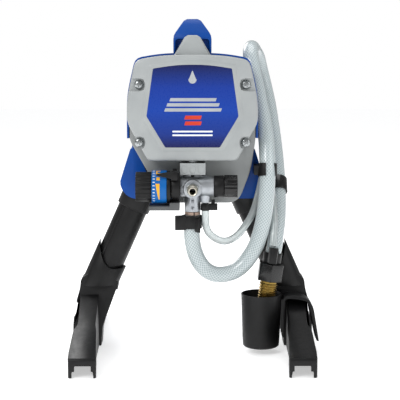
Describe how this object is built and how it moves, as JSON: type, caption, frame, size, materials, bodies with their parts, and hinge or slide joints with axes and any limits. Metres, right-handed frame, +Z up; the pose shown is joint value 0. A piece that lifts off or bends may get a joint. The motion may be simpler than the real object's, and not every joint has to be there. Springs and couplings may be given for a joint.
{
  "type": "stand-mounted airless paint sprayer",
  "caption": "Electric airless paint pump on two splayed legs, with carrying handle, pressure and prime controls, suction hose, prime tube, inlet strainer and drip cup.",
  "frame": {"origin": "on the floor, midway between the feet", "axes": "+Z up, the front cover faces -Y, +X is the side of the hoses"},
  "size_m": [0.3483, 0.36, 0.4625],
  "materials": {
    "cover_grey": "satin light grey",
    "housing_grey": "matt grey cast housing",
    "blue_shroud": "satin blue moulding",
    "label_blue": "gloss printed plate, plain",
    "black_plastic": "satin black moulding",
    "black_gloss": "gloss black moulding",
    "cast_aluminium": "cast, satin",
    "bright_steel": "ground",
    "zinc": "zinc plated",
    "brass_thread": "turned",
    "tan_ring": "bronze grey, matt",
    "ring_blue": "printed scale without words",
    "milky_hose": "clear reinforced vinyl",
    "clear_tube": "clear vinyl",
    "board_green": "matt"
  },
  "bodies": {
    "machine": {"foot_left": "black_plastic", "leg_tube_left": "black_plastic", "shroud_left": "blue_shroud", "foot_right": "black_plastic", "leg_tube_right": "black_plastic", "shroud_right": "blue_shroud", "carry_handle": "blue_shroud", "leg_yoke": "black_plastic", "front_cover": "cover_grey", "label_plate": "label_blue", "cover_screw_1": "zinc", "cover_screw_2": "zinc", "cover_screw_3": "zinc", "cover_screw_4": "zinc", "drive_housing": "housing_grey", "rod_guard": "cover_grey", "rear_grille": "black_plastic", "hose_hook": "black_plastic", "motor_can": "bright_steel", "motor_end_bell": "cast_aluminium", "front_bearing": "bright_steel", "rear_bearing": "bright_steel", "pump_body": "cast_aluminium", "packing_nut": "black_plastic", "outlet_nut": "zinc", "outlet_nipple": "zinc", "intake_valve": "tan_ring", "suction_clamp": "black_plastic", "prime_barb": "black_plastic", "prime_clamp": "black_plastic", "control_collar": "black_plastic", "control_bracket": "housing_grey", "prime_valve_body": "black_plastic", "switch_bezel": "black_plastic", "circuit_board": "board_green", "cord_gland": "black_plastic", "hose_clip_front": "black_plastic", "hose_clip_rear": "black_plastic", "suction_hose": "milky_hose", "prime_tube": "clear_tube", "strainer_body": "black_plastic", "strainer_nut": "black_plastic", "strainer_thread": "brass_thread", "inlet_screen": "bright_steel"},
    "pressure_control": {"pressure_knob": "black_plastic", "knob_label_ring": "ring_blue"},
    "prime_control": {"prime_valve_knob": "black_gloss"},
    "power_switch": {"switch_toggle": "black_plastic"},
    "motor_rotor": {"rotor_shaft": "bright_steel", "pinion": "bright_steel", "cooling_fan": "black_plastic"},
    "crank": {"crank_gear": "bright_steel"},
    "piston": {"drive_yoke": "bright_steel", "piston_rod": "zinc"},
    "cup": {"drip_cup": "black_plastic", "cup_saddle": "black_plastic"}
  },
  "joints": [
    {"name": "pressure_knob_turn", "type": "hinge", "parent": "machine", "child": "pressure_control", "pos_m": [-0.066, -0.072, 0.236], "axis": [1, 0, 0], "range_deg": [0, 270]},
    {"name": "prime_valve_turn", "type": "hinge", "parent": "machine", "child": "prime_control", "pos_m": [0.052, -0.068, 0.236], "axis": [1, 0, 0], "range_deg": [0, 90]},
    {"name": "power_switch_toggle", "type": "hinge", "parent": "machine", "child": "power_switch", "pos_m": [-0.083, 0.028, 0.297], "axis": [0, 1, 0], "range_deg": [-10, 10]},
    {"name": "rotor_spin", "type": "hinge", "parent": "machine", "child": "motor_rotor", "pos_m": [0, 0.02, 0.361], "axis": [0, 1, 0], "continuous": true},
    {"name": "crank_gear_spin", "type": "hinge", "parent": "machine", "child": "crank", "pos_m": [0, -0.036, 0.321], "axis": [0, 1, 0], "continuous": true},
    {"name": "piston_stroke", "type": "slide", "parent": "machine", "child": "piston", "axis": [0, 0, 1], "range_m": [-0.009, 0.009]},
    {"name": "drip_cup_lift", "type": "slide", "parent": "machine", "child": "cup", "axis": [0, 0, 1], "range_m": [0, 0.014]}
  ],
  "couplings": [
    {"joint": "crank_gear_spin", "follows": "rotor_spin", "ratio": -0.23077}
  ]
}
